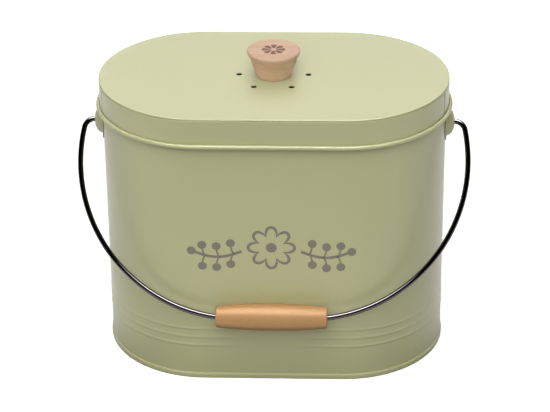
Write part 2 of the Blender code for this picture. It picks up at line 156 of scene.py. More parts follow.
def turnedPoints(outline, cols, at, axis="z"):
    # the outline's points (r, h), turned round the axis through the point at
    a = np.linspace(0, 2 * math.pi, cols, endpoint=False)
    r, h = outline[:, :1], outline[:, 1:2]
    flat = [r * np.cos(a), r * np.sin(a), np.broadcast_to(h, (len(outline), cols))]
    if axis == "x":
        flat = [flat[2], flat[0], flat[1]]
    return np.stack(flat, -1) + np.asarray(at)


def arcPoints(centre, radius, start, end, steps):
    # points (r, z) at even angles, in degrees from +r towards +z
    a = np.radians(np.linspace(start, end, steps + 1))
    return np.stack([centre[0] + radius * np.cos(a), centre[1] + radius * np.sin(a)], -1)


def roundedLine(corners, spacing):
    # a line (r, z) through the corners (r, z, fillet radius), each corner an arc between
    # its two tangent points, with points in between so that no run is coarse
    pts = [np.array(corners[0][:2], float)]
    for k in range(1, len(corners) - 1):
        here = np.array(corners[k][:2], float)
        back = np.array(corners[k - 1][:2], float) - here
        ahead = np.array(corners[k + 1][:2], float) - here
        back, ahead = back / np.linalg.norm(back), ahead / np.linalg.norm(ahead)
        fillet = corners[k][2]
        if fillet <= 0:
            pts.append(here)
            continue
        half = math.acos(np.clip(back @ ahead, -1, 1)) / 2
        reach = fillet / math.tan(half)
        middle = here + (back + ahead) / np.linalg.norm(back + ahead) * fillet / math.sin(half)
        p, q = here + back * reach - middle, here + ahead * reach - middle
        s = np.linspace(0, 1, filletSteps + 1)[:, None]
        between = math.pi - 2 * half
        ring = (np.sin((1 - s) * between) * p + np.sin(s * between) * q) / math.sin(between)
        pts.extend(middle + ring)
    pts.append(np.array(corners[-1][:2], float))
    pts = np.array(pts)
    runs = [pts[:1]]
    for p, q in zip(pts, pts[1:]):
        n = max(1, int(np.linalg.norm(q - p) / spacing))
        runs.append(p + (q - p) * np.linspace(0, 1, n + 1)[1:, None])
    return np.concatenate(runs)


def sheetOutline(line, openEnd=False):
    # both faces of a sheet about its middle line: the line plus and minus half the sheet's
    # thickness along its normal, joined round each end by a half circle. With openEnd the
    # outline starts and ends at the line's last point, where the sweep itself closes it
    d = np.gradient(line, axis=0)
    d = d / np.linalg.norm(d, axis=1, keepdims=True)
    n = np.stack([d[:, 1], -d[:, 0]], -1)
    a = np.linspace(0, math.pi, 2 * edgeSteps + 1)[1:-1, None]
    h = sheetT / 2
    far = line[-1] + h * (n[-1] * np.cos(a) + d[-1] * np.sin(a))
    near = line[0] + h * (-n[0] * np.cos(a) - d[0] * np.sin(a))
    if openEnd:
        return np.concatenate([(line - h * n)[::-1], near, line + h * n])
    return np.concatenate([line + h * n, far, (line - h * n)[::-1], near])


def smooth(t):
    # 0 below 0, 1 above 1, a smooth step between
    t = np.clip(t, 0, 1)
    return t * t * (3 - 2 * t)


# Materials: procedural, on Object coordinates

def newMaterial(name, colour, roughness, metallic=0.0, specular=0.5):
    material = bpy.data.materials.new(name)
    material.use_nodes = True
    nodes, links = material.node_tree.nodes, material.node_tree.links
    shader = nodes["Principled BSDF"]
    shader.inputs["Base Color"].default_value = (*colour, 1)
    shader.inputs["Roughness"].default_value = roughness
    shader.inputs["Metallic"].default_value = metallic
    shader.inputs["Specular IOR Level"].default_value = specular
    return material, nodes, links, shader


def objectNoise(nodes, links, scale, stretch=(1, 1, 1), detail=2.0, rough=0.5):
    coords = nodes.new("ShaderNodeTexCoord")
    mapping = nodes.new("ShaderNodeMapping")
    mapping.inputs["Scale"].default_value = stretch
    noise = nodes.new("ShaderNodeTexNoise")
    noise.inputs["Scale"].default_value = scale
    noise.inputs["Detail"].default_value = detail
    noise.inputs["Roughness"].default_value = rough
    links.new(coords.outputs["Object"], mapping.inputs["Vector"])
    links.new(mapping.outputs["Vector"], noise.inputs["Vector"])
    return noise.outputs["Fac"]


def attributeValue(nodes, name):
    mark = nodes.new("ShaderNodeAttribute")
    mark.attribute_name = name
    return mark.outputs["Fac"]


def remap(nodes, links, source, low, high, fromLow=0.3, fromHigh=0.7):
    node = nodes.new("ShaderNodeMapRange")
    for socket, value in (("From Min", fromLow), ("From Max", fromHigh), ("To Min", low),
                          ("To Max", high)):
        node.inputs[socket].default_value = value
    links.new(source, node.inputs["Value"])
    return node.outputs["Result"]


def feed(links, socket, value):
    # the value is another node's output, a colour or a number
    if isinstance(value, bpy.types.NodeSocket):
        links.new(value, socket)
    else:
        socket.default_value = (*value, 1) if isinstance(value, tuple) else value


def mixed(nodes, links, factor, first, second, kind="RGBA"):
    node = nodes.new("ShaderNodeMix")
    node.data_type = kind
    links.new(factor, node.inputs["Factor"])
    feed(links, node.inputs["A"], first)
    feed(links, node.inputs["B"], second)
    return node.outputs["Result"]


def blend(nodes, links, noise, first, second, low=0, high=1, *limits):
    # from the first colour where the noise is low to the second where it is high
    return mixed(nodes, links, remap(nodes, links, noise, low, high, *limits), first, second)


def maths(nodes, links, operation, *values):
    node = nodes.new("ShaderNodeMath")
    node.operation = operation
    for socket, value in zip(node.inputs, values):
        feed(links, socket, value)
    return node.outputs[0]


def addBump(nodes, links, shader, sources, distance):
    # sources: (height socket, strength), one bump after the other
    last = None
    for height, strength in sources:
        bump = nodes.new("ShaderNodeBump")
        bump.inputs["Strength"].default_value = strength
        bump.inputs["Distance"].default_value = distance
        links.new(height, bump.inputs["Height"])
        if last:
            links.new(last.outputs["Normal"], bump.inputs["Normal"])
        last = bump
    links.new(last.outputs["Normal"], shader.inputs["Normal"])


paint = {
    "colour": (0.458, 0.460, 0.246),
    "deeper": (0.446, 0.448, 0.239),
    "roughness": (0.40, 0.46),
    "haze": 0.18,                  # pale bloom of the powder coat at a low angle
    "hazeRoughness": 0.5,
    # painted shade: the dark colour of the shadow in the skirt's lap-seam groove
    "crease": (0.060, 0.062, 0.028),
    "slowScale": 9,
    "fineScale": 180,
    "peelScale": 850,              # orange peel of the powder coat, about a millimetre
    "peel": 0.05,
    "wave": 0.04,                  # slow unevenness of the rolled sheet
    "depth": 0.00006,
}


def paintMaterial(name="greenPaint", seamShade=False):
    # satin powder coat; the skirt's one carries a painted shade line, darker where the piece's
    # attribute crease is 1
    material, nodes, links, shader = newMaterial(name, paint["colour"], paint["roughness"][0])
    slow = objectNoise(nodes, links, paint["slowScale"], detail=1)
    colour = blend(nodes, links, slow, paint["colour"], paint["deeper"])
    # painted shade along the lap seam's groove, mixed in where the attribute crease is 1
    if seamShade:
        colour = mixed(nodes, links, attributeValue(nodes, "crease"), colour, paint["crease"])
    links.new(colour, shader.inputs["Base Color"])
    fine = objectNoise(nodes, links, paint["fineScale"], detail=3)
    links.new(remap(nodes, links, fine, *paint["roughness"]), shader.inputs["Roughness"])
    shader.inputs["Sheen Weight"].default_value = paint["haze"]
    shader.inputs["Sheen Roughness"].default_value = paint["hazeRoughness"]
    peel = objectNoise(nodes, links, paint["peelScale"], detail=1)
    addBump(nodes, links, shader, [(slow, paint["wave"]), (peel, paint["peel"])],
            paint["depth"])
    return material


wood = {
    "roughness": (0.50, 0.62),
    "bloomRoughness": 0.5,
    "bandScale": 150,
    "fibreScale": 1300,
    "fleckScale": 1500,
    "along": 0.06,                 # stretch of bands and fibres along the grain
    "fleckAlong": 0.20,
    "fibreTint": (0, 0.30),
    "fleckTint": (0, 0.35, 0.66, 0.76),
    "char": 0.6,                   # tone of the burn along the darker fibres
    "fibreBump": 0.10,
    "fleckBump": 0.05,
    "depth": 0.00008,
}


def woodMaterial(name, pale, deep, fleck, specular, bloom, burn=None):
    # beech: slow bands and fine fibres drawn out along x, with short soft flecks. With burn
    # it is burnt where the piece's attribute burn is 1
    material, nodes, links, shader = newMaterial(name, pale, wood["roughness"][0],
                                                 specular=specular)
    shader.inputs["Sheen Weight"].default_value = bloom
    shader.inputs["Sheen Roughness"].default_value = wood["bloomRoughness"]
    drawn = (wood["along"], 1, 1)
    bands = objectNoise(nodes, links, wood["bandScale"], drawn)
    fibre = objectNoise(nodes, links, wood["fibreScale"], drawn)
    flecks = objectNoise(nodes, links, wood["fleckScale"], (wood["fleckAlong"], 1, 1), detail=0)
    colour = blend(nodes, links, bands, pale, deep)
    colour = blend(nodes, links, fibre, colour, deep, *wood["fibreTint"])
    colour = blend(nodes, links, flecks, colour, fleck, *wood["fleckTint"])
    if burn:
        charred = blend(nodes, links, fibre, burn, tuple(wood["char"] * c for c in burn))
        colour = mixed(nodes, links, attributeValue(nodes, "burn"), colour, charred)
    links.new(colour, shader.inputs["Base Color"])
    links.new(remap(nodes, links, bands, *wood["roughness"]), shader.inputs["Roughness"])
    addBump(nodes, links, shader, [(fibre, wood["fibreBump"]), (flecks, wood["fleckBump"])],
            wood["depth"])
    return material


metal = {
    "scale": 1200,
    "uneven": (0.7, 1.4),          # share of the roughness where the noise is low and high
    "bump": 0.05,
    "depth": 0.00003,
}


def metalMaterial(name, colour, roughness):
    material, nodes, links, shader = newMaterial(name, colour, roughness, 1.0)
    fine = objectNoise(nodes, links, metal["scale"], detail=3)
    low, high = (share * roughness for share in metal["uneven"])
    links.new(remap(nodes, links, fine, low, high), shader.inputs["Roughness"])
    addBump(nodes, links, shader, [(fine, metal["bump"])], metal["depth"])
    return material


plastic = {
    "colour": (0.035, 0.036, 0.035),
    "roughness": 0.45,
    "uneven": (0.38, 0.55),
    "scale": 1400,
    "grain": 0.25,
    "depth": 0.00006,
}


def plasticMaterial():
    material, nodes, links, shader = newMaterial("coverPlastic", plastic["colour"],
                                                 plastic["roughness"])
    grain = objectNoise(nodes, links, plastic["scale"], detail=1)
    links.new(remap(nodes, links, grain, *plastic["uneven"]), shader.inputs["Roughness"])
    addBump(nodes, links, shader, [(grain, plastic["grain"])], plastic["depth"])
    return material


felt = {
    "colour": (0.010, 0.010, 0.010),
    "tones": ((0.002, 0.002, 0.002), (0.009, 0.009, 0.009)),
    "roughness": 1.0,
    "specular": 0.05,
    "scale": 900,
    "hair": 0.9,
    "depth": 0.0004,
}


def feltMaterial():
    material, nodes, links, shader = newMaterial("carbonFelt", felt["colour"],
                                                 felt["roughness"], specular=felt["specular"])
    hair = objectNoise(nodes, links, felt["scale"], detail=6, rough=0.75)
    links.new(blend(nodes, links, hair, *felt["tones"]), shader.inputs["Base Color"])
    addBump(nodes, links, shader, [(hair, felt["hair"])], felt["depth"])
    return material


ink = {
    "colour": (0.165, 0.152, 0.112),
    "tones": ((0.158, 0.146, 0.108), (0.176, 0.163, 0.121)),
    "roughness": 0.42,
    "uneven": (0.38, 0.46),
    "scale": 700,
}


def inkMaterial():
    # screen print, slightly uneven in cover and gloss
    material, nodes, links, shader = newMaterial("greyInk", ink["colour"], ink["roughness"])
    cover = objectNoise(nodes, links, ink["scale"])
    links.new(blend(nodes, links, cover, *ink["tones"]), shader.inputs["Base Color"])
    links.new(remap(nodes, links, cover, *ink["uneven"]), shader.inputs["Roughness"])
    return material


knobTones = {
    "pale": (0.590, 0.398, 0.280),
    "deep": (0.505, 0.330, 0.222),
    "fleck": (0.410, 0.254, 0.162),
    "burn": (0.125, 0.050, 0.021),
    "specular": 0.2,
    "bloom": 0.1,
}
gripTones = {
    "pale": (0.465, 0.262, 0.108),
    "deep": (0.405, 0.215, 0.077),
    "fleck": (0.320, 0.156, 0.052),
    "specular": 0.6,
    "bloom": 0.0,
}
greenPaint = paintMaterial()
knobWood = woodMaterial("knobWood", **knobTones)
gripWood = woodMaterial("gripWood", **gripTones)
bailSteel = metalMaterial("bailSteel", (0.065, 0.060, 0.057), 0.08)
print("materials made")


# Bucket

wall = {
    "play": 0.0014,                # between the wall and the lid's skirt
    "ribs": (0.0287, 0.0358, 0.0429),
    "ribRise": 0.00024,
    "ribHalf": 0.0018,
    "ribFlat": 0.0002,             # half of the flat of a rib's crest
    "ribLeft": 0.10,               # share of the rise left at the middle of the straights
    "ribFade": 0.040,              # stretch over which the ribs fade
    "ribZone": 0.0025,             # how far the fine rows reach past the outer ribs
    "ribRow": 0.0003,
    "curl": 0.0015,                # middle radius of the rim, rolled inwards
    "curlSweep": 300,
    "lap": 0.0070,                 # lap seam down the middle of the back
    "lapJoggle": 0.003,
    "lapEnd": 0.0012,
    "lapEdge": 0.0005,
    "lapRise": 0.0005,
}
wall["r"] = lidR - sheetT - wall["play"]


def wallPiece():
    # middle line: straight up, then the rim's curl. The ribs are cosines added to it,
    # rise * (1 + cos(pi t)) / 2, t from the crest's edge to the rib's edge
    r, curl = wall["r"] - sheetT / 2, wall["curl"]
    curlZ = wallHigh.z - sheetT / 2 - curl
    ribLow, ribHigh = wall["ribs"][0] - wall["ribZone"], wall["ribs"][-1] + wall["ribZone"]
    z = np.concatenate([np.linspace(wallLow.z, ribLow, 8),
                        np.arange(ribLow + wall["ribRow"], ribHigh, wall["ribRow"]),
                        np.linspace(ribHigh, curlZ, 30)])
    rim = arcPoints((r - curl, curlZ), curl, 0, wall["curlSweep"], 20)
    line = np.concatenate([np.stack([np.full(len(z), r), z], -1), rim[1:]])
    outline = sheetOutline(line)
    path = planPath(backSteps=70)
    centre, angle = path
    rise = np.zeros(len(outline))
    for at in wall["ribs"]:
        t = (np.abs(outline[:, 1] - at) - wall["ribFlat"]) / (wall["ribHalf"] - wall["ribFlat"])
        rise += wall["ribRise"] * (1 + np.cos(math.pi * np.clip(t, 0, 1))) / 2
    onFlat = np.abs(np.cos(angle)) < 1e-6
    fade = np.where(onFlat, smooth((endX - np.abs(centre)) / wall["ribFade"]), 0)
    fade = 1 - (1 - wall["ribLeft"]) * fade
    # lap seam: proud over the lap, with a soft joggle on one side and an edge on the other;
    # everywhere but on the back the distance along it is out of its reach
    along = np.where(onFlat & (np.sin(angle) > 0), centre, 1.0)
    lap = smooth((along + wall["lap"]) / wall["lapJoggle"])
    lap = lap * (1 - smooth((along - wall["lapEnd"]) / wall["lapEdge"]))
    points = sweepStadium(outline, path,
                          rise[:, None] * fade[None, :] + wall["lapRise"] * lap[None, :])
    quads = gridQuads(len(outline), len(angle), True, True)
    return meshObject("bucketWall", [(points, quads)], greenPaint, "bucket",
                      ("bucket_wall",))


base = {
    "seam": 0.0042,                # height of the band that grips the wall's foot
    "lean": 0.00035,               # how far the band's upper edge leans in
    "leanBend": 0.0012,
    "shoulder": 0.0011,
    "bend": 0.0006,
    "ledge": 0.0090,
    "ledgeBend": 0.0012,
    "recess": 0.0050,
    "step": 0.0010,
    "stepRun": 0.0020,
}


def basePiece():
    # band outside the wall's foot, folded under it and up inside, then the recessed floor
    h = sheetT / 2
    outer = wall["r"] + gap + h
    inner = wall["r"] - sheetT - gap - h
    ledge = inner - base["ledge"]
    line = roundedLine([
        (outer - base["lean"], base["seam"], 0),
        (outer, base["seam"] - base["shoulder"], base["leanBend"]),
        (outer, h, base["bend"]),
        (inner, h, base["bend"]),
        (inner, base["recess"], base["ledgeBend"]),
        (ledge, base["recess"], base["ledgeBend"]),
        (ledge - base["stepRun"], base["recess"] + base["step"], base["ledgeBend"]),
        (0, base["recess"] + base["step"], 0),
    ], spacing=0.004)
    outline = sheetOutline(line, openEnd=True)
    path = planPath()
    points = sweepStadium(outline, path)
    quads = gridQuads(len(outline), len(path[1]), False, True)
    return meshObject("bucketBase", [(points, quads)], greenPaint, "bucket",
                      ("bucket_base",))


ear = {
    "r": 0.0105,
    "rise": 0.0065,
    "flange": 0.0025,
    "tail": 0.0040,
    "eye": 0.0024,
    "shape": 2.2,                  # exponent of the dome's curve, 2 being an ellipse
    "root": 0.0016,                # rounding where the dome meets its flange
    "rootFrom": 186,               # degrees at which the rounding leaves the dome
    "rootUp": 0.9,                 # share of the rounding's height at which it does
}


def earPiece(side, name, node):
    # section about the hinge: the dome's height is rise (1 - (r / R)^n)^(1 / n), and its
    # flange is drawn down into a tail. The turned sheet is draped on the bucket's round end
    cols, h = 96, sheetT / 2
    outR, rise, root = ear["r"] - h, ear["rise"] - h, ear["root"]
    r = ear["eye"] + h + (outR - ear["eye"] - h) * np.sin(np.linspace(0, 1, 34) * math.pi / 2)
    up = h + (rise - h) * (1 - np.minimum(r / outR, 1) ** ear["shape"]) ** (1 / ear["shape"])
    keep = up > h + ear["rootUp"] * root
    line = np.stack([r[keep], up[keep]], -1)
    bend = arcPoints((line[-1, 0] + root, h + root), root, ear["rootFrom"], 270, 10)
    run = np.linspace(bend[-1, 0], ear["r"] + ear["flange"] - h, 5)[1:]
    line = np.concatenate([line, bend, np.stack([run, np.full(4, h)], -1)])
    outline = sheetOutline(line)
    a = np.linspace(0, 2 * math.pi, cols, endpoint=False)
    radius, height = outline[:, :1], outline[:, 1:]
    y, z = radius * np.sin(a), radius * np.cos(a)
    flat = smooth((radius - ear["r"]) / ear["flange"])
    z = np.where(z < 0, z * (1 + flat * (ear["tail"] - ear["flange"]) / ear["r"]), z)
    x = side * (endX + np.sqrt((wall["r"] + gap) ** 2 - y ** 2) + height)
    points = np.stack([x, centreY + y, z + hinge[2]], -1)
    quads = gridQuads(len(outline), cols, True, True)
    return meshObject(name, [(points, quads)], greenPaint, "bucket", (node,))


# Print on the front: a twig with paired berries on each side of a flower

ornament = {
    "ink": 0.00005,                # how far the print stands proud
    "sunk": 0.00002,
    "layer": 0.00001,              # what one layer of ink adds where lines cross
    "line": 0.0022,
    "flowerZ": 0.1130,
    "flowerR": 0.0170,
    "flowerWaist": 0.60,           # how far the line falls back between two petals
    "petals": 8,
    "petalRound": 0.8,             # exponent, below 1 for broad petals
    "steepest": 1.6,
    "heartR": 0.0040,
    "twigZ": 0.1100,
    "twigFrom": 0.0215,
    "twigTo": 0.0585,
    "twigSag": 0.0050,
    "berryR": 0.0033,
    "berryRise": 0.0088,
    "berryAt": (0.0270, 0.0375, 0.0480),
    "tipBerry": 0.0005,            # how far the last berry's middle is past the twig's tip
    "stalk": 0.0013,
    "stalkLean": 0.0030,           # how far a stalk bends outwards
}


def onFront(s, z, out):
    # the point s along the front from its middle, out from the wall's face, wrapped round
    # the ends: x = end + r sin a, y = -r cos a, where a = (|s| - end) / wall radius
    a = np.clip(np.abs(s) - endX, 0, None) / wall["r"]
    r = wall["r"] + out
    x = np.sign(s) * (np.minimum(np.abs(s), endX) + r * np.sin(a))
    return np.stack([x, centreY - r * np.cos(a), z], -1)


def printed(left, right, closed=False, across=3, layer=0):
    # a closed strip between two lines of points (s, z): its ink face and its sunk face
    t = np.linspace(0, 1, across)[None, :, None]
    face = left[:, None] * (1 - t) + right[:, None] * t
    upper = onFront(face[..., 0], face[..., 1], ornament["ink"] + layer * ornament["layer"])
    sunk = -ornament["sunk"] - layer * ornament["layer"]
    lower = onFront(face[..., 0], face[..., 1], sunk)[:, ::-1]
    ring = np.concatenate([upper, lower], 1)
    return ring, gridQuads(len(ring), 2 * across, closed, True)


def stroke(points, width, layer=0):
    # a line of the given width, p + and - n w / 2, that narrows to round ends
    d = np.gradient(points, axis=0)
    d = d / np.linalg.norm(d, axis=1, keepdims=True)
    n = np.stack([d[:, 1], -d[:, 0]], -1)
    run = np.concatenate([[0], np.cumsum(np.linalg.norm(np.diff(points, axis=0), axis=1))])
    near = np.minimum(run, run[-1] - run) / (width / 2)
    half = (width / 2 * np.sqrt(1 - (1 - np.clip(near, 0, 1)) ** 2))[:, None]
    return printed(points - n * half, points + n * half, layer=layer)


def disc(s, z, radius, steps=20):
    # a round dot as a strip of chords: half width sqrt(r^2 - h^2)
    h = radius * np.cos(np.linspace(0, math.pi, steps + 1))
    w = np.sqrt(np.maximum(radius ** 2 - h ** 2, 0))
    return printed(np.stack([s - w, z + h], -1), np.stack([s + w, z + h], -1), across=5, layer=2)


def ornamentPiece():
    parts = []
    a = np.linspace(0, 2 * math.pi, 320, endpoint=False)
    swell = np.abs(np.cos(a * ornament["petals"] / 2)) ** ornament["petalRound"]
    r = ornament["flowerR"] * (ornament["flowerWaist"] + (1 - ornament["flowerWaist"]) * swell)
    # the petals' line is set off along the radius, wider where the line runs steeply, so
    # that its inner side doesn't cross itself between two petals
    steep = (np.roll(r, -1) - np.roll(r, 1)) / (2 * (a[1] - a[0]) * r)
    half = ornament["line"] / 2 * np.minimum(np.sqrt(1 + steep ** 2), ornament["steepest"])
    ray = np.stack([np.sin(a), np.cos(a)], -1)
    middle = np.array([0, ornament["flowerZ"]])
    inner, outer = [middle + ray * (r + k * half)[:, None] for k in (-1, 1)]
    parts.append(printed(inner, outer, True))
    parts.append(disc(0, ornament["flowerZ"], ornament["heartR"]))
    t, u = np.linspace(0, 1, 60), np.linspace(0, math.pi / 2, 24)
    s = ornament["twigFrom"] + t * (ornament["twigTo"] - ornament["twigFrom"])
    z = ornament["twigZ"] - ornament["twigSag"] * np.sin(math.pi * t)
    for side in (-1, 1):
        parts.append(stroke(np.stack([side * s, z], -1), ornament["line"]))
        parts.append(disc(side * (ornament["twigTo"] + ornament["tipBerry"]),
                          ornament["twigZ"], ornament["berryR"]))
        for at in ornament["berryAt"]:
            root = np.interp(at, s, z)
            for up in (-1, 1):
                end = ornament["berryRise"] * up
                stalk = np.stack([side * (at + ornament["stalkLean"] * np.sin(u)),
                                  root + end * (1 - np.cos(u))], -1)
                parts.append(stroke(stalk, ornament["stalk"], layer=1))
                parts.append(disc(side * (at + ornament["stalkLean"]), root + end,
                                  ornament["berryR"]))
    return meshObject("frontPrint", parts, inkMaterial(), "bucket", weld=1e-6)


# Lid

skirt = {
    "flange": 0.0045,
    "bend": 0.0009,
    "hemR": 0.00135,               # middle radius of the hem, rolled outwards
    "hemSweep": 285,
    "lapAngle": 20,                # lap seams in front of each end's middle, in degrees
    "lapRise": 0.00012,
    "lapEdge": (0.0002, 0.0003),   # start of its rise behind the lap's edge, and the run
    "lapEnd": (0.006, 0.004),      # start of its fall ahead of the edge, and the run
    "groove": 0.00025,             # depth of the shadow line behind the lap's edge
    "grooveAt": (0.0016, 0.0014, 1.2),     # distance behind the edge, half width, softness
    "creaseAt": (0.0013, 0.0012, 1.3),     # the same for the painted shade line along the groove
    "grooveTop": (0.0010, 0.0012),         # start of the fading under the bend, and the run
    "grooveFoot": (0.0016, 0.0010),        # the same above the hem
    "creaseEnds": (0.0012, 0.0020),        # what the painted shade line leaves free at top and foot
    "station": 0.00015,            # plan stations beside the lap's edge
}


def alongGroove(ahead, at, half, soft):
    # 1 on the groove and 0 off it, from the distance ahead of the lap's edge
    return smooth(soft - np.abs(ahead + at) / half)


def skirtPiece():
    # flange under the panel, bend, band, and the hem rolled outwards
    r, hem = lidR - sheetT / 2, skirt["hemR"]
    top = skirtHigh.z - sheetT / 2
    hemZ = skirtLow.z + sheetT / 2 + hem
    line = roundedLine([(r - skirt["flange"], top, 0), (r, top, skirt["bend"]), (r, hemZ, 0)],
                       spacing=0.001)
    roll = arcPoints((r + hem, hemZ), hem, 180, 180 + skirt["hemSweep"], 32)
    outline = sheetOutline(np.concatenate([line, roll[1:]]))
    lapAngle = math.radians(skirt["lapAngle"])
    near = (np.arange(-24, 9) * skirt["station"]) / lidR + lapAngle
    path = planPath(arcSteps=90, frontSteps=20, backSteps=20, extra=near)
    # distance in front of the lap's edge, along the round end
    fromEnd = np.abs(np.arctan2(np.sin(path[1]), np.abs(np.cos(path[1]))))
    ahead = (fromEnd - lapAngle) * lidR
    (edgeAt, edgeRun), (endAt, endRun) = skirt["lapEdge"], skirt["lapEnd"]
    over = smooth((ahead + edgeAt) / edgeRun) * (1 - smooth((ahead - endAt) / endRun))
    groove = skirt["groove"] * alongGroove(ahead, *skirt["grooveAt"])
    proud = np.where(np.sin(path[1]) < 0, skirt["lapRise"] * over - groove, 0)[None, :]
    (topAt, topRun), (footAt, footRun) = skirt["grooveTop"], skirt["grooveFoot"]
    band = smooth((skirtHigh.z - topAt - outline[:, 1:2]) / topRun)
    band = band * smooth((outline[:, 1:2] - hemZ - footAt) / footRun)
    points = sweepStadium(outline, path, proud * band)
    quads = gridQuads(len(outline), len(path[1]), True, True)
    piece = meshObject("lidSkirt", [(points, quads)], paintMaterial("skirtPaint", True),
                       "lid", ("lid_skirt",))
    # the painted shade line along the same groove, from each vertex's own angle round the end
    x, y, z = vertexPlaces(piece)
    ahead = (np.arctan2(centreY - y, np.abs(x) - endX) - lapAngle) * lidR
    topFree, footFree = skirt["creaseEnds"]
    inBand = (np.abs(x) > endX) & (z > hemZ + footFree) & (z < skirtHigh.z - topFree)
    # painted shade: the crease attribute darkens the paint along the groove
    setAttribute(piece, "crease", alongGroove(ahead, *skirt["creaseAt"]) * inBand)
    return piece


panel = {
    "edge": 0.00055,               # rounding of the upper edge
    "under": 0.0001,
    "rings": (0.0040, 0.0012),     # rows this far from the edge keep the plate's shading flat
    "ventsPerSide": 3,
    "ventStep": 57.5,              # degrees from vent to vent on each side
    "ventRing": 0.0257,
    "ventR": 0.0023,
    "punch": 0.00015,              # rounding of the punched edges
    "screwR": 0.0024,
    "past": 0.001,                 # how far a cutter reaches past the plate
    "pastStraight": 0.0001,
}


def punchCutter(name, radius, x, y):
    # a turned cutter that widens towards both faces, so that each hole has rounded edges
    low, high, e = panelLow.z, panelHigh.z, panel["punch"]
    past, straight, wide = panel["past"], panel["pastStraight"], radius + 2 * e
    upper = arcPoints((radius + e, high - e), e, 180, 90, 5)
    lower = arcPoints((radius + e, low + e), e, 270, 180, 5)
    outline = np.concatenate([[(0, low - past), (wide, low - past)],
                              [(radius + e, low - straight)], lower, upper,
                              [(radius + e, high + straight)],
                              [(wide, high + past), (0, high + past)]])
    cols = 40
    points = turnedPoints(outline, cols, (x, y, 0))
    quads = gridQuads(len(outline), cols, False, True)
    cutter = meshObject(name, [(points, quads)], greenPaint, "lid")
    cutter.hide_render = True
    return cutter


def panelPiece():
    # flat plate from its centre line out, round its upper edge and back underneath
    e, u = panel["edge"], panel["under"]
    low, high = panelLow.z, panelHigh.z
    far, close = (lidR - ring for ring in panel["rings"])
    outline = np.concatenate([[(0, high), (far, high), (close, high)],
                              arcPoints((lidR - e, high - e), e, 90, 0, 8),
                              arcPoints((lidR - u, low + u), u, 0, -90, 3),
                              [(close, low), (far, low), (0, low)]])
    path = planPath(arcSteps=120, frontSteps=24, backSteps=24)
    points = sweepStadium(outline, path)
    quads = gridQuads(len(outline), len(path[1]), False, True)
    piece = meshObject("lidPanel", [(points, quads)], greenPaint, "lid",
                       ("lid_panel",))
    spots = [(0, centreY, panel["screwR"])]
    for side in (0, 180):
        for k in range(panel["ventsPerSide"]):
            a = math.radians(side + panel["ventStep"] * (k - (panel["ventsPerSide"] - 1) / 2))
            spots.append((panel["ventRing"] * math.cos(a),
                          centreY + panel["ventRing"] * math.sin(a), panel["ventR"]))
    cutters = [punchCutter("punch%d" % k, r, x, y) for k, (x, y, r) in enumerate(spots)]
    for cutter in cutters:
        hole = piece.modifiers.new(cutter.name, "BOOLEAN")
        hole.operation = "DIFFERENCE"
        hole.solver = "EXACT"
        hole.object = cutter
    even = piece.modifiers.new("even", "WEIGHTED_NORMAL")
    even.keep_sharp = True
    graph = bpy.context.evaluated_depsgraph_get()
    made = bpy.data.meshes.new_from_object(piece.evaluated_get(graph))
    piece.modifiers.clear()
    piece.data = made
    made.name = "lidPanel"
    for cutter in cutters:
        bpy.data.objects.remove(cutter)
    return piece


knob = {
    "r": 0.0199,
    "rim": 0.0030,
    "taper": 0.0006,
    "edge": 0.0012,
    "lowEdge": 0.0005,
    "underR": 0.0185,              # where the stem starts under the rim
    "underH": 0.0006,
    "neckR": 0.0166,
    "neckH": 0.0112,
    "crease": 0.0030,
    "baseR": 0.0133,
    "foot": 0.0005,
    "boreR": 0.0038,
    "boreH": 0.0103,
    "marks": 8,                    # wedges of the burnt rosette on the top
    "markR": 0.0088,
    "markHole": 0.0020,
    "markWedge": 0.78,             # share of the turn that the wedges take
    "markRound": (0.0014, 0.25),   # run over which a wedge's outer end narrows, and what is left
    "markBlur": 0.0010,            # softness of a wedge's sides
    "holeBlur": 0.0004,
}


def knobPiece():
    # turned outline, from the middle of the top down the side and back under the foot
    low, high = knobLow.z, knobHigh.z
    r = knob["r"]
    side = roundedLine([
        (0, high, 0),
        (r, high, knob["edge"]),
        (r - knob["taper"], high - knob["rim"], knob["lowEdge"]),
        (knob["underR"], high - knob["rim"] - knob["underH"], knob["underH"]),
        (knob["neckR"], low + knob["neckH"], knob["crease"]),
        (knob["baseR"], low, knob["foot"]),
        (knob["boreR"], low, 0),
        (knob["boreR"], low + knob["boreH"], 0),
        (0, low + knob["boreH"], 0),
    ], spacing=0.0003)
    cols = 200
    points = turnedPoints(side, cols, (0, centreY, 0))
    quads = gridQuads(len(side), cols, False, True)
    piece = meshObject("knob", [(points, quads)], knobWood, "lid", ("knob",))
    markKnob(piece)
    return piece


def markKnob(piece):
    # burnt wedges with rounded outer ends: off goes from 0 on a wedge's middle line to 1
    # halfway to the next, and the burn is where it is below the wedge's share
    x, y, z = vertexPlaces(piece)
    y = y - centreY
    r, a = np.hypot(x, y), np.arctan2(y, x)
    onTop = z > knobHigh.z - 0.0001
    off = np.abs(np.mod(a / (2 * math.pi / knob["marks"]) + 0.5, 1) - 0.5) * 2
    run, left = knob["markRound"]
    wide = knob["markWedge"] * smooth((knob["markR"] - r) / run + left)
    burn = smooth((wide - off) * r / knob["markBlur"] + 0.5)
    burn = burn * smooth((r - knob["markHole"]) / knob["holeBlur"])
    setAttribute(piece, "burn", np.where(onTop & (r < knob["markR"]), burn, 0))


# Bail

bail = {
    "wireR": 0.0020,
    "side": 0.0101,                # dome to the wire's middle line at its widest
    "belly": 0.0300,               # hinge to the depth where the wire is widest
    "shoulderR": 0.0080,
    "gripBendR": 0.0140,
    "gripPlay": 0.0005,
    "buttonR": 0.0036,             # upset head inside the ear
    "buttonT": 0.0014,
    "buttonBlend": 0.0006,
    "buttonPlay": 0.0006,
}


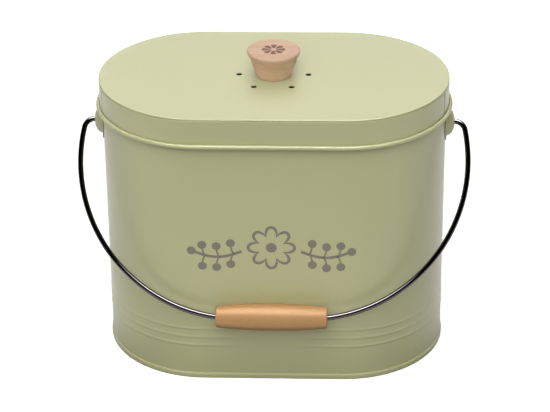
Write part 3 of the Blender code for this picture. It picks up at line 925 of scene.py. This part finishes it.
def bailLine(reach):
    # the wire's middle line as (x, distance below the hinge): a shoulder bend, one large
    # arc tangent to it, and a small bend beside the grip, then straight through the grip.
    # The large radius follows from across^2 + down^2 - bend^2 = 2 big (across - bend)
    gripX = gripEnd + bail["gripPlay"]
    small, bend, belly = bail["shoulderR"], bail["gripBendR"], bail["belly"]
    half = earEnd + bail["side"]
    across, down = half - gripX, reach - bend - belly
    big = (across ** 2 + down ** 2 - bend ** 2) / (2 * (across - bend))
    bigX = half - big
    above = math.degrees(math.asin((belly - small) / (big - small)))
    smallX = bigX + (big - small) * math.cos(math.radians(above))
    lean = math.degrees(math.asin((gripX - bigX) / (big - bend)))
    start = earEnd - sheetT - bail["buttonPlay"] - bail["buttonT"]
    shoulder = arcPoints((smallX, small), small, -90, -above, 24)
    arc = arcPoints((bigX, belly), big, -above, 90 - lean, 140)
    turn = arcPoints((gripX, reach - bend), bend, 90 - lean, 90, 10)
    lead = np.stack([np.linspace(start, smallX, 14)[:-1], np.zeros(13)], -1)
    middle = np.stack([np.linspace(gripX, 0, 10)[1:], np.full(9, reach)], -1)
    right = np.concatenate([lead, shoulder, arc[1:], turn[1:], middle])
    left = (right * (-1, 1))[:-1]
    return np.concatenate([right, left[::-1]])


def wirePiece():
    # round section carried along the line: p + r (cos b * n + sin b * m), where n is the
    # line's normal in the bail's plane and m is square to that plane
    reach = np.linalg.norm(gripMiddle[1:] - hinge[1:])
    line = bailLine(reach)
    down = (gripMiddle - hinge) / reach
    down[0] = 0
    across = np.array([0, down[2], -down[1]])
    centre = hinge + line[:, :1] * np.array([1, 0, 0]) + line[:, 1:] * down
    d = np.gradient(centre, axis=0)
    d = d / np.linalg.norm(d, axis=1, keepdims=True)
    n = np.cross(d, across)
    travelled = np.concatenate([[0], np.cumsum(np.linalg.norm(np.diff(centre, axis=0), axis=1))])
    # the radius swells to the upset head over the first stretch at each end
    fromEnd = np.minimum(travelled, travelled[-1] - travelled)
    head = 1 - smooth((fromEnd - bail["buttonT"]) / bail["buttonBlend"])
    r = bail["wireR"] + (bail["buttonR"] - bail["wireR"]) * head
    cols = 28
    b = np.linspace(0, 2 * math.pi, cols, endpoint=False)
    tube = centre[:, None] + r[:, None, None] * (np.cos(b)[None, :, None] * n[:, None]
                                                 + np.sin(b)[None, :, None] * across)
    caps = [np.broadcast_to(centre[k], (1, cols, 3)) for k in (0, -1)]
    shell = np.concatenate([caps[0], tube, caps[1]])
    quads = gridQuads(len(shell), cols, False, True)
    return meshObject("bailWire", [(shell, quads)], bailSteel, "bail",
                      ("bail_wire",))


grip = {
    "r": 0.0100,
    "endR": 0.0080,
    "edge": 0.0010,
    "bore": 0.0024,
    "mouth": 0.0005,
    "swell": 2.4,                  # exponent of the barrel's curve
}


def gripPiece():
    # barrel: end radius plus a swell of 1 - |x / reach|^n, softly rounded ends, and a bore
    reach = gripEnd - grip["edge"]
    x = np.linspace(reach, -reach, 90)
    swell = (grip["r"] - grip["endR"]) * (1 - np.abs(x / reach) ** grip["swell"])
    barrel = np.stack([grip["endR"] + swell, x], -1)
    lip = arcPoints((grip["bore"] + grip["mouth"], gripEnd - grip["mouth"]), grip["mouth"],
                    180, 90, 4)
    corner = arcPoints((grip["endR"] - grip["edge"], reach), grip["edge"], 90, 0, 8)
    near = np.concatenate([lip, corner[:-1]])
    outline = np.concatenate([near, barrel, (near * (1, -1))[::-1]])
    cols = 96
    points = turnedPoints(outline, cols, (0, gripMiddle[1], gripMiddle[2]), "x")
    quads = gridQuads(len(outline), cols, True, True)
    return meshObject("bailGrip", [(points, quads)], gripWood, "grip",
                      ("bail_grip",))


wallPiece()
basePiece()
earPiece(-1, "earLeft", "ear_left")
earPiece(1, "earRight", "ear_right")
ornamentPiece()
skirtPiece()
panelPiece()
knobPiece()
wirePiece()
gripPiece()
print("pieces made")

# the fasteners and the filter, hidden at rest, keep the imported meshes
hidden = {
    "knob_insert": metalMaterial("insertBrass", (0.70, 0.52, 0.25), 0.3),
    "knob_screw": metalMaterial("screwZinc", (0.62, 0.61, 0.60), 0.28),
    "screw_washer": metalMaterial("washerZinc", (0.60, 0.60, 0.59), 0.32),
    "filter_spacer": metalMaterial("spacerZinc", (0.60, 0.60, 0.59), 0.32),
    "filter_cover": plasticMaterial(),
    "carbon_filter": feltMaterial(),
}
for node, material in hidden.items():
    frame["nodes"][node].data.materials.clear()
    frame["nodes"][node].data.materials.append(material)


# Stage: floor, world, lamps and camera

stage = {
    "floorHalf": 6.0,
    "floorColour": 0.93,           # to the camera
    "floorRoughness": 0.9,
    "floorBounce": 0.18,           # what the floor throws back on the bin
    "floorGlow": (0.50, 1.0),      # to the camera only, near and far
    "glowRing": (0.45, 1.30),      # where near ends and far begins
    "floorGloss": 2.6,             # in gloss only, on the bright part of the table
    "tableEdge": (-0.44, -0.32),   # where that part begins, in front of the bin
    "tableEnd": (-0.095, -0.125),  # and ends, in the bin's own shade
    "shadeSides": (0.11, 0.16),    # left and right ends of that shade
    "sideGloss": 0.66,             # share of the gloss beside and behind the bin
    "worldFill": 0.03,
    "panelColour": (0.98, 0.99, 1.08),
}
# what gloss sees: strength, then the limits of the panel
glossPanels = (
    (3.8, (("Y", 0.15, 0.35), ("Z", 0.28, 0.72))),
    (27.0, (("Z", 0.87, 0.94), ("Y", 0.62, 0.45))),
)


def makeFloor():
    mesh = bpy.data.meshes.new("floor")
    half = stage["floorHalf"]
    mesh.from_pydata([(-half, -half, 0), (half, -half, 0), (half, half, 0), (-half, half, 0)],
                     [], [(0, 1, 2, 3)])
    floor = bpy.data.objects.new("floor", mesh)
    bpy.context.scene.collection.objects.link(floor)
    bounce, bright = [(stage[k],) * 3 for k in ("floorBounce", "floorColour")]
    material, nodes, links, shader = newMaterial("floorPale", bright, stage["floorRoughness"],
                                                 specular=0.0)
    path = nodes.new("ShaderNodeLightPath")
    camera, gloss = path.outputs["Is Camera Ray"], path.outputs["Is Glossy Ray"]
    colour = mixed(nodes, links, gloss, bounce, (0.0, 0.0, 0.0))
    links.new(mixed(nodes, links, camera, colour, bright), shader.inputs["Base Color"])
    # gloss sees the table's bright part, less in the bin's own shade and beside it
    place = nodes.new("ShaderNodeTexCoord").outputs["Object"]
    split = nodes.new("ShaderNodeSeparateXYZ")
    links.new(place, split.inputs[0])
    x, y = split.outputs["X"], split.outputs["Y"]
    table = remap(nodes, links, y, 0, stage["floorGloss"], *stage["tableEdge"])
    ahead = remap(nodes, links, y, 0, 1, *stage["tableEnd"])
    beside = remap(nodes, links, maths(nodes, links, "ABSOLUTE", x), 0, stage["sideGloss"],
                   *stage["shadeSides"])
    unshaded = maths(nodes, links, "MAXIMUM", ahead, beside)
    table = maths(nodes, links, "MULTIPLY", table, unshaded)
    glow = mixed(nodes, links, gloss, 0.0, table, "FLOAT")
    # the camera sees it glow more with the distance, so that its end doesn't show
    distance = nodes.new("ShaderNodeVectorMath")
    distance.operation = "LENGTH"
    links.new(place, distance.inputs[0])
    far = remap(nodes, links, distance.outputs["Value"], *stage["floorGlow"],
                *stage["glowRing"])
    glow = mixed(nodes, links, camera, glow, far, "FLOAT")
    shader.inputs["Emission Color"].default_value = (1, 1, 1, 1)
    links.new(glow, shader.inputs["Emission Strength"])
    mesh.materials.append(material)


def makeWorld():
    # the camera sees white, gloss sees the studio's panels, all else gets an even fill
    world = bpy.data.worlds.new("studio")
    bpy.context.scene.world = world
    world.use_nodes = True
    nodes, links = world.node_tree.nodes, world.node_tree.links
    background = nodes["Background"]
    coords = nodes.new("ShaderNodeTexCoord")
    split = nodes.new("ShaderNodeSeparateXYZ")
    links.new(coords.outputs["Generated"], split.inputs[0])
    # each panel is the product of soft steps over the direction's parts, every limit being
    # (part, value where it is dark, value where it is lit)
    total = 0.0
    for lit, limits in glossPanels:
        for part, dark, full in limits:
            edge = remap(nodes, links, split.outputs[part], 0, 1, dark, full)
            lit = maths(nodes, links, "MULTIPLY", edge, lit)
        total = maths(nodes, links, "ADD", lit, total)
    rays = nodes.new("ShaderNodeLightPath").outputs
    strength = mixed(nodes, links, rays["Is Glossy Ray"], stage["worldFill"], total, "FLOAT")
    for kind in ("Is Transmission Ray", "Is Camera Ray"):
        strength = mixed(nodes, links, rays[kind], strength, 1.0, "FLOAT")
    links.new(strength, background.inputs["Strength"])
    links.new(mixed(nodes, links, rays["Is Camera Ray"], stage["panelColour"],
                    (1.0, 1.0, 1.0)), background.inputs["Color"])


def makeLamp(name, place, aim, size, power):
    # a soft box that faces its aim, seen neither by the camera nor in gloss
    lamp = bpy.data.lights.new(name, "AREA")
    lamp.shape = "RECTANGLE"
    lamp.size, lamp.size_y = size
    lamp.energy = power
    holder = bpy.data.objects.new(name, lamp)
    bpy.context.scene.collection.objects.link(holder)
    place, aim = np.array(place, float), np.array(aim, float)
    back = (place - aim) / np.linalg.norm(place - aim)
    side = np.cross((0, 0, 1), back)
    side = side / np.linalg.norm(side)
    up = np.cross(back, side)
    turn = Matrix([[side[k], up[k], back[k], place[k]] for k in range(3)] + [[0, 0, 0, 1]])
    holder.matrix_world = turn
    holder.visible_camera = False
    holder.visible_glossy = False


# fitted to the photo's outlines; angles in degrees, the aim on the bin's middle plane
cameraSet = {
    "lens": 148.1824,
    "distance": 1.72926,
    "pitch": 28.1423,
    "turn": 2.4597,
    "roll": -0.6367,
    "aimX": -0.00021,
    "aimZ": 0.10709,
    "clip": (0.05, 50),
}


def makeCamera():
    data = bpy.data.cameras.new("camera")
    holder = bpy.data.objects.new("camera", data)
    bpy.context.scene.collection.objects.link(holder)
    data.lens = cameraSet["lens"]
    data.sensor_width = 36
    pitch, turn, roll = (math.radians(cameraSet[k]) for k in ("pitch", "turn", "roll"))
    look = (Matrix.Rotation(turn, 4, "Z") @ Matrix.Rotation(math.pi / 2 - pitch, 4, "X")
            @ Matrix.Rotation(roll, 4, "Z"))
    aim = Matrix.Translation((cameraSet["aimX"], centreY, cameraSet["aimZ"]))
    holder.matrix_world = aim @ look @ Matrix.Translation((0, 0, cameraSet["distance"]))
    data.clip_start, data.clip_end = cameraSet["clip"]
    bpy.context.scene.camera = holder


# name, place, aim, size, watts
lamps = (
    ("behind", (0.3, 1.8, 1.6), (0, 0, 0.12), (2.4, 1.6), 18),
    ("key", (-0.1, -1.25, 1.55), (0, 0, 0.12), (1.8, 1.9), 38),
    ("low", (0, -1.7, 0.45), (0, 0, 0.1), (2.2, 0.6), 3),
    ("left", (-1.6, -0.3, 0.9), (0, 0, 0.15), (1.2, 1.0), 4),
    ("right", (1.6, -0.3, 0.9), (0, 0, 0.15), (1.2, 1.0), 3),
)
makeFloor()
makeWorld()
for lamp in lamps:
    makeLamp(*lamp)
makeCamera()
bpy.context.scene.view_settings.view_transform = "Standard"
print("stage set")
